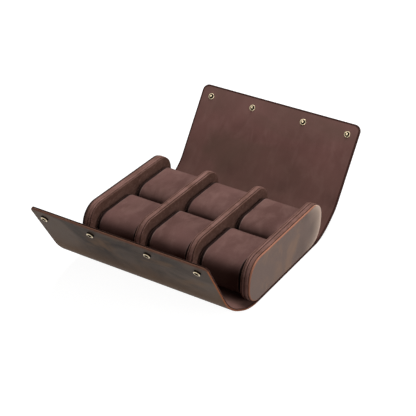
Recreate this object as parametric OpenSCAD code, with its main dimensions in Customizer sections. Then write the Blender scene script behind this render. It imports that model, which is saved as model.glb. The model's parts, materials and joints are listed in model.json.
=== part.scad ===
// Travel case for six wristwatches: a suede-lined tray with three bays and six loose pillows,
// held in a leather wrap whose front and back flaps fold over the top and close with four snaps.
// X runs along the case, +Y to the back, +Z up. The origin is the middle of the resting face.

/* [Tray] */
// Clear width of one bay between its two suede faces
bay_w = 67; // [55:1:85]
// Front-to-back depth of the tray
tray_d = 192.5; // [160:0.5:240]
// Height of the end walls above the wrap
tray_h = 63.8; // [56:0.2:85]
// Corner radius of the end walls and dividers
tray_r = 27; // [20:0.5:28]
// Thickness of a divider over its facings
divider_t = 10; // [8:0.5:16]
// Thickness of an end wall over its facing, without the leather panel
end_wall_t = 11; // [8:0.5:16]
// Thickness of the padded facing on a wall
facing_t = 2; // [1:0.25:2.5]
// How far a facing stays inside the wall's outline
facing_inset = 1; // [0.5:0.25:3]
// Thickness of the suede skin round a board or a pillow
suede_t = 1.2; // [0.8:0.1:2]
// Play between a board or foam core and its skin
core_play = 0.1; // [0.05:0.05:0.3]
// Thickness of the covered base board under the bays
base_board_t = 2; // [1.5:0.25:4]
// Thickness of the leather panel on each end
panel_t = 2.5; // [1.5:0.25:4]
// How far the leather panel stays inside the end wall's outline
panel_inset = 1; // [0.5:0.25:3]

/* [Wrap] */
// Thickness of the outer leather
leather_t = 2; // [1.5:0.1:3]
// Thickness of the suede lining
lining_t = 1.4; // [0.8:0.1:2]
// How far the wrap's side edges stay inside the outer faces of the end panels
wrap_inset = 0.5; // [0.3:0.1:2]
// Corner radius of the front flap
front_corner_r = 7; // [4:0.5:18]
// Corner radius of the back flap
back_corner_r = 9.5; // [4:0.5:18]
// Slit left at each end of a strip, so that neighbours never rub
fold_slit = 0.03; // [0.02:0.01:0.1]
// Gap between a closed flap and the round ends of the tray
fold_play = 0.4; // [0.2:0.1:1.5]
// Gap between the closed front flap and the top of the dividers
top_play = 0.6; // [0.3:0.1:2]
// Rise of the front flap above the table as it stands open
front_open = 58; // [20:0.1:85]
// Rise of the back flap above the table as it stands open
back_open = 56.5; // [20:0.1:85]
// Turn of the wrap at each fold line of the closed front flap, all but the last
front_folds = [27, 30, 30, 30, 31];
// Turn at the root fold of the closed back flap
back_root_fold = 28; // [20:1:34]
// Turn at each fold line of the closed back flap's curve
back_curve_folds = [36, 32, 27, 20];

/* [Pillows] */
// Gap between a pillow and the bay's side
pillow_side_gap = 1.2; // [0.5:0.1:3]
// Gap between the front and the back pillow of a bay
pillow_row_gap = 3; // [1:0.5:10]
// Distance from the tray's end to the pillow
pillow_inset = 8.2; // [7:0.2:20]
// Height of a pillow
pillow_h = 49.5; // [35:0.5:54]
// Corner radius of a pillow
pillow_r = 18; // [14:0.5:22]
// Gap under a pillow
pillow_seat_gap = 0.3; // [0.1:0.1:1]

/* [Snaps] */
// Distance of the outer snaps from the wrap's side edges
snap_side_edge = 16.5; // [10:0.5:30]
// Distance of the inner snaps from the middle of the case
snap_inner_x = 39.9; // [20:0.1:60]
// Distance of the snap row from the flap's free edge
snap_edge = 16; // [10:0.2:30]
// Place of the closed snap row, towards the back
snap_row_y = -2.6; // [-20:0.2:20]
// Outer diameter of a socket
socket_d = 10; // [8:0.2:14]
// Height of a socket above the leather
socket_h = 2.6; // [2.2:0.1:4]
// Sheet thickness of the snap parts
snap_sheet_t = 0.4; // [0.3:0.05:0.5]
// Diameter of the ball on a stud
ball_d = 4.2; // [3.6:0.1:5.5]
// Play between the ball and the mouth of the socket
ball_play = 0.2; // [0.1:0.05:0.4]
// Diameter of the wire of the socket's ring spring
spring_wire_d = 0.5; // [0.3:0.05:0.7]
// Diameter of a stud's flange
stud_flange_d = 9; // [7:0.2:12]
// Thickness of a stud's flange
stud_flange_t = 0.7; // [0.5:0.05:1]
// Diameter of a cap
cap_d = 12.5; // [10:0.5:16]
// Height of a cap's dome above the leather
cap_h = 2.2; // [1.4:0.1:3]
// Diameter of the posts that pass through the flaps
post_d = 3; // [2:0.1:3.2]
// Play between a post and its hole
post_play = 0.1; // [0.05:0.05:0.3]
// Diameter of an eyelet's flared end
flare_d = 4; // [3.6:0.1:4.4]
// Diameter of the neck between a stud's ball and its flange
stud_neck_d = 3.2; // [3:0.1:3.4]
// Gap between the closed stud's flange and the socket
snap_play = 0.15; // [0.1:0.05:0.5]
// Gap between the closed stud's ball and the floor of the socket
ball_end_gap = 0.2; // [0.1:0.05:0.4]

/* [Hidden] */
FRONT_FOLD_PARTS = [for (i = [1:5], layer = ["leather", "lining"]) str("front_fold_", i, "_", layer)];
BACK_FOLD_PARTS = [for (i = [1:5], layer = ["leather", "lining"]) str("back_fold_", i, "_", layer)];
PILLOW_PARTS = [
    for (row = ["front", "back"], place = ["left", "middle", "right"], part = ["sleeve", "foam"])
        str(row, "_", place, "_pillow_", part)
];
$fn = 64;

SUEDE = "#6b4a42";
SUEDE_LIGHT = "#7a564d";
LEATHER = "#5f5147";
BOARD = "#a58f72";
FOAM = "#d8d2c4";
BRASS = "#9c8455";

// Wrap and tray values that follow from the driving sizes
wrap_t = leather_t + lining_t;
seat_z = wrap_t;
floor_z = seat_z + base_board_t;
end_wall_x = 1.5 * bay_w + divider_t;
divider_x = bay_w / 2;
corner_y = tray_d / 2 - tray_r;
divider_h = tray_h - base_board_t;
panel_face_x = end_wall_x + end_wall_t;
wrap_w = 2 * (panel_face_x + panel_t - wrap_inset);

// Half turn of the wrap from the base to a closed flap
HALF_TURN = 180;

function sum(list, i = 0) = i < len(list) ? list[i] + sum(list, i + 1) : 0;
function sum_to(list, last, i = 0) = i <= last ? list[i] + sum_to(list, last, i + 1) : 0;

// Height of each closed flap's inner face above the tray's seat
snap_stack_h = stud_flange_t + socket_h + snap_play;
front_inner_h = tray_h + top_play;
back_inner_h = front_inner_h + wrap_t + snap_stack_h;

// Turns at the six fold lines of each closed flap, which add up to half a turn
front_turns = concat(front_folds, [HALF_TURN - sum(front_folds)]);
back_first_turns = concat([back_root_fold], back_curve_folds);
back_turns = concat(back_first_turns, [HALF_TURN - sum(back_first_turns)]);

// Turns at the fold lines as the flaps stand open: the front folds share the rise in the same
// proportion as when closed; at the back only the four middle folds are bent
front_rest = [for (turn = front_turns) turn * front_open / HALF_TURN];
back_curve_share = back_open / sum(back_curve_folds);
back_rest = concat([0], [for (turn = back_curve_folds) turn * back_curve_share], [0]);

// A closed flap's inner face follows straight lines that touch the tray's rounded corners.
// Each line is [direction, offset along its outward normal], in [y from the middle, z above the seat].
fold_r = tray_r + fold_play;
function outward(dir) = [sin(dir), -cos(dir)];
function corner_centre(dir, inner_h) = [corner_y, dir <= 90 ? tray_r : inner_h - fold_r];
function line_offset(dir, inner_h) =
    dir == 0 ? 0 : outward(dir) * corner_centre(dir, inner_h) + fold_r;
function crossing(dir_a, off_a, dir_b, off_b) =
    let (a = outward(dir_a), b = outward(dir_b), det = a[0] * b[1] - a[1] * b[0])
    [(off_a * b[1] - a[1] * off_b) / det, (a[0] * off_b - off_a * b[0]) / det];

// Fold points of the closed flap
function closed_points(turns, inner_h) = [
    for (i = [0:len(turns) - 1])
        let (dir_a = i == 0 ? 0 : sum_to(turns, i - 1), dir_b = sum_to(turns, i))
        crossing(dir_a, line_offset(dir_a, inner_h), dir_b, line_offset(dir_b, inner_h))
];
front_closed = closed_points(front_turns, front_inner_h);
back_closed = closed_points(back_turns, back_inner_h);

// Lengths between fold lines, and from the last fold line to the free edge
front_lengths = [for (i = [0:4]) norm(front_closed[i + 1] - front_closed[i])];
back_lengths = [for (i = [0:4]) norm(back_closed[i + 1] - back_closed[i])];
front_plate_l = front_closed[5][0] + snap_row_y + snap_edge;
back_plate_l = back_closed[5][0] - snap_row_y + snap_edge;

// Fold points of the standing flap, each from the one before it
function rest_point(start, lengths, turns, i) =
    i == 0 ? start
    : rest_point(start, lengths, turns, i - 1)
      + lengths[i - 1] * [cos(sum_to(turns, i - 1)), sin(sum_to(turns, i - 1))];

pillow_w = bay_w - 2 * pillow_side_gap;
pillow_d = tray_d / 2 - pillow_inset - pillow_row_gap / 2;
pillow_y = pillow_row_gap / 2 + pillow_d / 2;
pillow_z = floor_z + pillow_seat_gap + pillow_h / 2;
bay_pitch = bay_w + divider_t;

mouth_d = ball_d + 2 * ball_play;
spring_r = mouth_d / 2 + spring_wire_d / 2;
hole_d = post_d + 2 * post_play;
snap_outer_x = wrap_w / 2 - snap_side_edge;
snap_xs = [-snap_outer_x, -snap_inner_x, snap_inner_x, snap_outer_x];
stud_h = stud_flange_t + snap_play + socket_h - snap_sheet_t - ball_end_gap;

// Rounded rectangle about the origin, with true arcs at its corners
module rounded_rect(w, h, r) {
    square([w - 2 * r, h], center = true);
    square([w, h - 2 * r], center = true);
    for (sx = [-1, 1], sy = [-1, 1])
        translate([sx * (w / 2 - r), sy * (h / 2 - r)]) circle(r);
}

// Carries a profile drawn in Y and Z along X, centred on x
module along_x(x, length) {
    translate([x - length / 2, 0, 0]) rotate([90, 0, 90]) linear_extrude(length) children();
}

// Upright slab with the tray's rounded outline, drawn in by inset
module wall_slab(x, t, bottom, height, inset) {
    translate([0, 0, bottom + height / 2])
        along_x(x, t) rounded_rect(tray_d - 2 * inset, height - 2 * inset, tray_r - inset);
}

// Board wrapped in suede: the cover is a skin of suede_t, the board fills it
module wall_cover(x, t, bottom, height) {
    color(SUEDE) difference() {
        wall_slab(x, t, bottom, height, 0);
        wall_slab(x, t - 2 * suede_t, bottom, height, suede_t);
    }
}
module wall_board(x, t, bottom, height) {
    color(BOARD)
        wall_slab(x, t - 2 * (suede_t + core_play), bottom, height, suede_t + core_play);
}

// End walls: facing inside, covered board, leather panel outside
module end_wall_cover(side) {
    wall_cover(side * (end_wall_x + (end_wall_t + facing_t) / 2), end_wall_t - facing_t, seat_z, tray_h);
}
module end_wall_board(side) {
    wall_board(side * (end_wall_x + (end_wall_t + facing_t) / 2), end_wall_t - facing_t, seat_z, tray_h);
}
module end_wall_facing(side) {
    color(SUEDE_LIGHT)
        wall_slab(side * (end_wall_x + facing_t / 2), facing_t, floor_z, divider_h, facing_inset);
}
module end_panel(side) {
    color(LEATHER)
        wall_slab(side * (panel_face_x + panel_t / 2), panel_t, seat_z, tray_h, panel_inset);
}

// Dividers stand on the base board and carry a facing on both sides
module divider_cover(side) {
    wall_cover(side * (divider_x + divider_t / 2), divider_t - 2 * facing_t, floor_z, divider_h);
}
module divider_board(side) {
    wall_board(side * (divider_x + divider_t / 2), divider_t - 2 * facing_t, floor_z, divider_h);
}
module divider_facings(side) {
    color(SUEDE_LIGHT)
        for (face = [facing_t / 2, divider_t - facing_t / 2])
            wall_slab(side * (divider_x + face), facing_t, floor_z, divider_h, facing_inset);
}

module tray_base_board() {
    color(SUEDE) translate([-end_wall_x, -corner_y, seat_z])
        cube([2 * end_wall_x, 2 * corner_y, base_board_t]);
}

// Pillow: a suede sleeve closed at both ends round a foam core
module pillow_shape(row, place, inset) {
    translate([0, row * pillow_y, pillow_z])
        along_x(place * bay_pitch, pillow_w - 2 * inset)
            rounded_rect(pillow_d - 2 * inset, pillow_h - 2 * inset, pillow_r - inset);
}
module pillow_sleeve(row, place) {
    color(SUEDE_LIGHT) difference() {
        pillow_shape(row, place, 0);
        pillow_shape(row, place, suede_t);
    }
}
module pillow_foam(row, place) {
    color(FOAM) pillow_shape(row, place, suede_t + core_play);
}

// Layer of the wrap under the tray, between the first fold lines of the two flaps
module wrap_base(bottom, t) {
    translate([-wrap_w / 2, -front_closed[0][0], bottom])
        cube([wrap_w, front_closed[0][0] + back_closed[0][0], t]);
}
module wrap_base_leather() {
    color(LEATHER) wrap_base(0, leather_t);
}
module wrap_base_lining() {
    color(SUEDE) wrap_base(leather_t, lining_t);
}

// Places a piece at fold line i of a standing flap: Y runs along the flap, Z towards the tray.
// side is 1 for the back flap and -1 for the front flap.
module at_fold(side, i) {
    turns = side > 0 ? back_rest : front_rest;
    lengths = side > 0 ? back_lengths : front_lengths;
    start = side > 0 ? back_closed[0] : front_closed[0];
    point = rest_point(start, lengths, turns, i);
    mirror([0, side > 0 ? 0 : 1, 0])
        translate([0, point[0], seat_z + point[1]])
            rotate([sum_to(turns, i), 0, 0]) children();
}

// Section of one bent layer: two arcs about one centre, cut square to the chord at both ends
module bent_section(chord, turn, depth, t) {
    arc_r = chord / 2 / sin(turn / 2);
    intersection() {
        translate([chord / 2, arc_r * cos(turn / 2)]) difference() {
            circle(arc_r + depth + t);
            circle(arc_r + depth);
        }
        translate([fold_slit, -3 * wrap_t]) square([chord - 2 * fold_slit, 4 * wrap_t]);
    }
}

// One layer of the wrap between two fold lines. It bends by the smaller of the two folds' turns, so
// that it never dips below the wrap's base; beside an unbent fold it is straight. Its square ends
// let the flap lie flat.
module fold_strip(side, i, depth, t) {
    turns = side > 0 ? back_rest : front_rest;
    chord = side > 0 ? back_lengths[i] : front_lengths[i];
    turn = min(turns[i], turns[i + 1]);
    at_fold(side, i) along_x(0, wrap_w) {
        if (turn > 0) bent_section(chord, turn, depth, t);
        else translate([fold_slit, -depth - t]) square([chord - 2 * fold_slit, t]);
    }
}
module fold_leather(side, i) {
    color(LEATHER) fold_strip(side, i - 1, lining_t, leather_t);
}
module fold_lining(side, i) {
    color(SUEDE) fold_strip(side, i - 1, 0, lining_t);
}

// Outline of the flat end of a flap, from its last fold line, with rounded free corners
module flap_outline(length, corner_r) {
    straight_w = wrap_w - 2 * corner_r;
    translate([-wrap_w / 2, fold_slit]) square([wrap_w, length - corner_r - fold_slit]);
    translate([-straight_w / 2, fold_slit]) square([straight_w, length - fold_slit]);
    for (s = [-1, 1])
        translate([s * (wrap_w / 2 - corner_r), length - corner_r]) circle(corner_r);
}

// Layer of a flap's flat end, with a hole for each snap's post
module flap_layer(side, depth, t) {
    length = side > 0 ? back_plate_l : front_plate_l;
    at_fold(side, 5) translate([0, 0, -depth - t]) linear_extrude(t) difference() {
        flap_outline(length, side > 0 ? back_corner_r : front_corner_r);
        for (x = snap_xs) translate([x, length - snap_edge]) circle(d = hole_d);
    }
}

// Places a snap part at every snap of a flap, at the inner face of the flap
module at_snaps(side) {
    length = side > 0 ? back_plate_l : front_plate_l;
    at_fold(side, 5)
        for (x = snap_xs) translate([x, length - snap_edge, 0]) children();
}

module front_flap_leather() {
    color(LEATHER) flap_layer(-1, lining_t, leather_t);
}
// The eyelets' flanges lie in shallow seats in the lining
module front_flap_lining() {
    color(SUEDE) difference() {
        flap_layer(-1, 0, lining_t);
        at_snaps(-1) translate([0, 0, -snap_sheet_t])
            cylinder(d = stud_flange_d + 2 * post_play, h = 2 * snap_sheet_t);
    }
}
module back_flap_leather() {
    color(LEATHER) flap_layer(1, lining_t, leather_t);
}
module back_flap_lining() {
    color(SUEDE) flap_layer(1, 0, lining_t);
}

// Socket: a pressed cup with a rolled mouth that faces away from the leather
module snap_sockets() {
    cup_r = socket_d / 2;
    color(BRASS) at_snaps(-1) translate([0, 0, -wrap_t]) mirror([0, 0, 1]) rotate_extrude() difference() {
        union() {
            square([cup_r - snap_sheet_t, socket_h]);
            square([cup_r, socket_h - snap_sheet_t]);
            translate([cup_r - snap_sheet_t, socket_h - snap_sheet_t]) circle(snap_sheet_t);
        }
        square([hole_d / 2, snap_sheet_t]);
        translate([0, snap_sheet_t]) square([cup_r - snap_sheet_t, socket_h - 2 * snap_sheet_t]);
        translate([0, snap_sheet_t]) square([mouth_d / 2, socket_h]);
    }
}

// Ring spring under the socket's mouth
module snap_springs() {
    spring_z = socket_h - snap_sheet_t - spring_wire_d / 2 - ball_play;
    color("silver") at_snaps(-1) translate([0, 0, -wrap_t - spring_z])
        rotate_extrude() translate([spring_r, 0]) circle(d = spring_wire_d);
}

// Eyelet: flange on the lining, tube through the flap, flared end inside the socket
module snap_eyelets() {
    bore_d = post_d - 2 * snap_sheet_t;
    flare_t = snap_sheet_t / 2;
    color(BRASS) at_snaps(-1) difference() {
        union() {
            translate([0, 0, -snap_sheet_t]) cylinder(d = stud_flange_d, h = snap_sheet_t);
            translate([0, 0, -wrap_t - snap_sheet_t - flare_t]) cylinder(d = post_d, h = wrap_t + flare_t);
            translate([0, 0, -wrap_t - snap_sheet_t - flare_t]) cylinder(d = flare_d, h = flare_t);
        }
        translate([0, 0, -2 * wrap_t]) cylinder(d = bore_d, h = 3 * wrap_t);
    }
}

// Stud: flange on the lining with a necked ball
module snap_studs() {
    ball_r = ball_d / 2;
    color(BRASS) at_snaps(1) rotate_extrude() difference() {
        union() {
            square([stud_flange_d / 2 - stud_flange_t / 2, stud_flange_t]);
            intersection() {
                translate([stud_flange_d / 2 - stud_flange_t / 2, 0]) circle(stud_flange_t);
                square([stud_flange_d / 2 + stud_flange_t, stud_flange_t]);
            }
            square([stud_neck_d / 2, stud_h - ball_r / 2]);
            intersection() {
                translate([0, stud_h - ball_r]) circle(ball_r);
                square([ball_r, stud_h]);
            }
        }
        square([post_d / 2, stud_flange_t]);
    }
}

// Cap: dome on the outer leather with a post through the flap into the stud
module snap_caps() {
    dome_r = (cap_d * cap_d / 4 + cap_h * cap_h) / (2 * cap_h);
    color(BRASS) at_snaps(1) {
        translate([0, 0, -wrap_t]) mirror([0, 0, 1]) rotate_extrude() intersection() {
            translate([0, cap_h - dome_r]) circle(dome_r);
            square([cap_d / 2, cap_h]);
        }
        translate([0, 0, -wrap_t]) cylinder(d = post_d, h = wrap_t + stud_flange_t);
    }
}

wrap_base_leather();
wrap_base_lining();
tray_base_board();
end_wall_cover(-1);  // left_end_wall_cover
end_wall_board(-1);  // left_end_wall_board
end_wall_facing(-1);  // left_end_wall_facing
end_panel(-1);  // left_end_panel
end_wall_cover(1);  // right_end_wall_cover
end_wall_board(1);  // right_end_wall_board
end_wall_facing(1);  // right_end_wall_facing
end_panel(1);  // right_end_panel
divider_cover(-1);  // left_divider_cover
divider_board(-1);  // left_divider_board
divider_facings(-1);  // left_divider_facings
divider_cover(1);  // right_divider_cover
divider_board(1);  // right_divider_board
divider_facings(1);  // right_divider_facings
for (row = [-1, 1], place = [-1, 0, 1]) {
    name = str(row < 0 ? "front" : "back", "_", ["left", "middle", "right"][place + 1], "_pillow_");
    pillow_sleeve(row, place);
    pillow_foam(row, place);
}
for (side = [-1, 1], i = [1:5]) {
    name = str(side < 0 ? "front" : "back", "_fold_", i, "_");
    fold_leather(side, i);
    fold_lining(side, i);
}
front_flap_leather();
front_flap_lining();
back_flap_leather();
back_flap_lining();
snap_sockets();
snap_springs();
snap_eyelets();
snap_studs();
snap_caps();
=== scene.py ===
"""Watch travel case: a suede-lined tray with six loose pillows, in a leather wrap with snap flaps.

Everything is in metres in the case's frame: +Z up, +X along the case, +Y towards the back flap."""

import bpy
import json
import numpy as np
from math import cos, pi, radians, sin
from mathutils import Matrix, Vector


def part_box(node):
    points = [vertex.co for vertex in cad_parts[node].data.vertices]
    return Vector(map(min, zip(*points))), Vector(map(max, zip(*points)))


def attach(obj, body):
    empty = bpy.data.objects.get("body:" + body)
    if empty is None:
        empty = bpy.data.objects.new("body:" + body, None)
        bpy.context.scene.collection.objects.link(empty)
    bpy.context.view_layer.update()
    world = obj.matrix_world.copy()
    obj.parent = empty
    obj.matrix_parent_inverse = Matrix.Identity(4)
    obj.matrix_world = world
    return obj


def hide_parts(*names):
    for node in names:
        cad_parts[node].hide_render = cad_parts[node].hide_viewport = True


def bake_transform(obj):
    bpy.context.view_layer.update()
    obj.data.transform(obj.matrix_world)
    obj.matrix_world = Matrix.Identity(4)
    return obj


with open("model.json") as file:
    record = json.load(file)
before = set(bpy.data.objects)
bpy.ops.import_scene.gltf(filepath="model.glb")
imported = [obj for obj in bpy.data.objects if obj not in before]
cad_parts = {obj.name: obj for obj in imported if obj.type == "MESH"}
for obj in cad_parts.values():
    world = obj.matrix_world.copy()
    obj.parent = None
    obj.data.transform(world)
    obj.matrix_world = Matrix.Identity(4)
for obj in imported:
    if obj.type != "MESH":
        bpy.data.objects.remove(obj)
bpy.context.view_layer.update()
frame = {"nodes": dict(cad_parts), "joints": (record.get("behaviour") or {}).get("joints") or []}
MM = 0.001

# -------------------------------------------------------------- sizes shared with the tray and wrap

LEATHER_T = 2.0 * MM
LINING_T = 1.4 * MM
WRAP_T = LEATHER_T + LINING_T
# How steeply the flat end of each open flap rises, and the corner radius of its free edge
FRONT_RISE = radians(58)
BACK_RISE = radians(56.5)
FRONT_CORNER_R = 7 * MM
BACK_CORNER_R = 9.5 * MM
TRAY_CORNER_R = 27 * MM
PANEL_EDGE_R = 1.0 * MM
FACING_T = 2.0 * MM
# Radius of the last ring before a lid, which keeps the lid from folding on itself
LID_GAP = 0.05 * MM


def srgb(r, g, b):
    """Linear colour of an 8-bit screen colour."""
    c = np.array([r, g, b]) / 255
    linear = np.where(c <= 0.04045, c / 12.92, ((c + 0.055) / 1.055) ** 2.4)
    return (*[float(v) for v in linear], 1.0)


# -------------------------------------------------------------- shader maths

class Value:
    """A node's output socket. Arithmetic on it adds Math nodes to the same material."""

    def __init__(self, paint, socket):
        self.paint, self.socket = paint, socket

    def math(self, operation, *values):
        ports = dict(enumerate(values))
        return self.paint.node("ShaderNodeMath", ports, operation=operation)

    def __add__(self, other): return self.math("ADD", self, other)
    def __radd__(self, other): return self.math("ADD", other, self)
    def __sub__(self, other): return self.math("SUBTRACT", self, other)
    def __rsub__(self, other): return self.math("SUBTRACT", other, self)
    def __mul__(self, other): return self.math("MULTIPLY", self, other)
    def __rmul__(self, other): return self.math("MULTIPLY", other, self)
    def abs(self): return self.math("ABSOLUTE", self)
    def clip(self): return self.math("MAXIMUM", self.math("MINIMUM", self, 1.0), 0.0)

    def step(self, low, high):
        """0 below low, 1 above high, smooth between."""
        ports = {"Value": self, "From Min": low, "From Max": high}
        return self.paint.node("ShaderNodeMapRange", ports, interpolation_type="SMOOTHSTEP")


class Paint:
    """The nodes of one material or world."""

    def __init__(self, owner):
        owner.use_nodes = True
        self.owner, self.tree = owner, owner.node_tree
        self.tree.nodes.clear()

    def node(self, kind, ports=None, out=0, **settings):
        """Adds a node, sets it up, feeds its sockets and returns one of its outputs."""
        made = self.tree.nodes.new(kind)
        for key, value in settings.items():
            setattr(made, key, value)
        for key, value in (ports or {}).items():
            if isinstance(value, Value):
                self.tree.links.new(value.socket, made.inputs[key])
            else:
                made.inputs[key].default_value = value
        return Value(self, made.outputs[out])

    def place(self, attribute=None):
        """Where a point is: the object's own coordinates, or a vector attribute of the piece."""
        if attribute:
            return self.node("ShaderNodeAttribute", out="Vector", attribute_name=attribute)
        return self.node("ShaderNodeTexCoord", out="Object")

    def mark(self, attribute):
        """The number that the piece stores at each point under this name."""
        return self.node("ShaderNodeAttribute", out="Fac", attribute_name=attribute)

    def axis(self, vector, name):
        """One of a vector's three numbers: X, Y or Z."""
        return self.node("ShaderNodeSeparateXYZ", {0: vector}, out=name)

    def noise(self, place, scale, detail, rough, stretch=(1, 1, 1), warp=0.0):
        """Noise from 0 to 1 about 0.5, with scale in features per metre."""
        moved = self.node("ShaderNodeVectorMath", {0: place, 1: stretch}, operation="MULTIPLY")
        ports = {"Vector": moved, "Scale": scale, "Detail": detail, "Roughness": rough,
                 "Distortion": warp}
        return self.node("ShaderNodeTexNoise", ports)

    def mix(self, factor, a, b):
        """Colour a where factor is 0 and b where it is 1."""
        ports = {0: factor, 6: a, 7: b}
        return self.node("ShaderNodeMix", ports, out=2, data_type="RGBA")

    def bump(self, height, distance, strength):
        """The surface's normal, tilted as if heights from 0 to 1 rose by distance."""
        ports = {"Height": height, "Distance": distance, "Strength": strength}
        return self.node("ShaderNodeBump", ports)

    def finish(self, **ports):
        """Ends the material in a shader with these values and returns it."""
        ports = {key.replace("_", " "): value for key, value in ports.items()}
        self.surface(self.node("ShaderNodeBsdfPrincipled", ports))
        return self.owner

    def surface(self, shader, output="ShaderNodeOutputMaterial"):
        """Shows the shader as the surface of a material, or of the world by the world's output."""
        self.tree.links.new(shader.socket, self.tree.nodes.new(output).inputs["Surface"])


# -------------------------------------------------------------- materials

# Features per metre of the patterns in suede, hide and brass
SUEDE_WEAR, SUEDE_CLOUDS, SUEDE_STROKES, SUEDE_TUFTS, SUEDE_NAP = 9, 16, 60, 330, 1300
HIDE_BLOOMS, HIDE_TAN, HIDE_MOTTLE, HIDE_SCRATCHES = 12, 20, 70, 160
HIDE_GRAIN, HIDE_PORES = 1100, 2600
BRASS_CLOUDS, BRASS_SPECKS = 420, 2600
# Depth of their bumps
NAP_DEEP, GRAIN_DEEP, SPECKS_DEEP = 0.1 * MM, 0.06 * MM, 0.02 * MM

# Every pair below is a start and an end, between which a pattern or a colour turns smoothly.
# The two halves of the case, left and right or front and back
MIDDLE = -1 * MM, 1 * MM
# Lining: paler near the free edge as painted light, darker and more olive away from it as painted
# shade, and dark along its cut sides and its end
EDGE_PAINTED_LIGHT = 5 * MM, 60 * MM
PAINTED_SHADE_FROM_EDGE = 40 * MM, 90 * MM
SIDE_DARK = 1.8 * MM, 3.0 * MM
END_DARK = 1.0 * MM, 2.0 * MM
# Leather: paler and greyer towards the sides, partly its own tone and partly a painted sheen, and
# runs along the wrap where it turns worked and plain again, which clouds shift by WORKED_SPREAD
SIDE_PALER = 20 * MM, 115 * MM
WORKED, PLAIN = (40 * MM, 90 * MM), (150 * MM, 215 * MM)
WORKED_SPREAD = 90 * MM
BACK_RIM = -88 * MM, -74 * MM
# Width of the burnished band along the wrap's free edges, and of its fade
TIP_WIDE, TIP_FADE = 2.6 * MM, 1.6 * MM
# End panels: their far rim, a painted highlight, and the painted light inside it, both along the
# panel and in from its rim
FAR_HIGHLIGHT_RUN = 68 * MM, 88 * MM
FAR_PAINTED_LIGHT = 45 * MM, 95 * MM
PAINTED_LIGHT_BROAD, PAINTED_LIGHT_CLOSE = (1 * MM, 36 * MM), (0.5 * MM, 9 * MM)

# Colour of the painted shade in seams, grooves, edges and the gaps at the pillows' ends
SEAM_SHADE = srgb(10, 6, 5)
SHEEN_TINT = srgb(214, 168, 156)


def suede(name, dark, mid, light, sheen=0.3, attribute=None, seam=None, patches=None, rim_dark=None,
          front_tip=None, painted_highlight=None, low_shade=None, tufted=0.0):
    """Brushed microfibre: a soft nap with faint clouds and strokes, and tufts of strength tufted.

    attribute is the name of the place on the hide, and seam that of the marks of painted shade in
    stitched creases, grooves, edges and gaps. patches is the colour of broad worn areas. Two more
    colours are painted: a painted highlight where its mark is 1, and painted shade on the lower
    sides where the mark fall is 1. On the lining, rim_dark is the colour of a cut edge, whose
    distance is the mark rim, and front_tip that of the front flap's free edge. From the free edge,
    whose distance is the mark tip, the lining turns from paler, as painted light, to darker and
    more olive, as painted shade."""
    p = Paint(bpy.data.materials.new(name))
    place = p.place(attribute)
    clouds = p.noise(place, SUEDE_CLOUDS, 3, 0.5, warp=0.4)
    strokes = p.noise(place, SUEDE_STROKES, 3, 0.6, stretch=(1.0, 0.5, 1.0), warp=0.5)
    nap = p.noise(place, SUEDE_NAP, 2, 0.7)
    body = p.mix(clouds.step(0.3, 0.7), dark, mid)
    body = p.mix(strokes.step(0.4, 0.75) * 0.26, body, light)
    body = p.mix(nap.step(0.3, 0.8) * 0.14, body, light)
    if tufted:
        tufts = p.noise(place, SUEDE_TUFTS, 3, 0.6, stretch=(1.0, 0.6, 1.0))
        body = p.mix(tufts.step(0.5, 0.75) * tufted, body, light)
        body = p.mix((1.0 - tufts).step(0.5, 0.75) * tufted, body, dark)
    if patches:
        worn = p.noise(place, SUEDE_WEAR, 4, 0.55, stretch=(0.7, 1.2, 1.0), warp=0.6)
        body = p.mix(worn.step(0.44, 0.66) * 0.7, body, patches)
    # painted shade on the pillows' lower sides
    if low_shade:
        body = p.mix(p.mark("fall") * (0.6 + clouds * 0.4), body, low_shade)
    # painted highlight on the walls' rims and just inside the pillows' dark ends
    if painted_highlight:
        body = p.mix(p.mark("painted_highlight") * (0.1 + strokes.step(0.3, 0.7) * 0.6), body, painted_highlight)
    # painted shade where the seam mark is 1
    if seam:
        body = p.mix(p.mark(seam) * 0.95, body, SEAM_SHADE)
    if rim_dark:
        rim, tip = p.mark("rim"), p.mark("tip")
        # painted light near the free edge and painted shade further from it
        body = p.mix((1.0 - tip.step(*EDGE_PAINTED_LIGHT)) * 0.3, body, light)
        body = p.mix(tip.step(*PAINTED_SHADE_FROM_EDGE) * 0.3, body, patches)
        off_front_tip = (tip.step(*END_DARK) + p.axis(place, "Y").step(*MIDDLE)).clip()
        edge = p.mix(off_front_tip, front_tip, rim_dark)
        body = p.mix(1.0 - rim.step(*SIDE_DARK), body, edge)
    return p.finish(
        Base_Color=body,
        Roughness=(0.88 + strokes * 0.08),
        Normal=p.bump(nap * 0.5 + strokes * 0.25, NAP_DEEP, 0.4),
        Sheen_Weight=sheen,
        Sheen_Roughness=0.45,
        Sheen_Tint=SHEEN_TINT,
        Specular_IOR_Level=0.03,
    )


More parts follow.
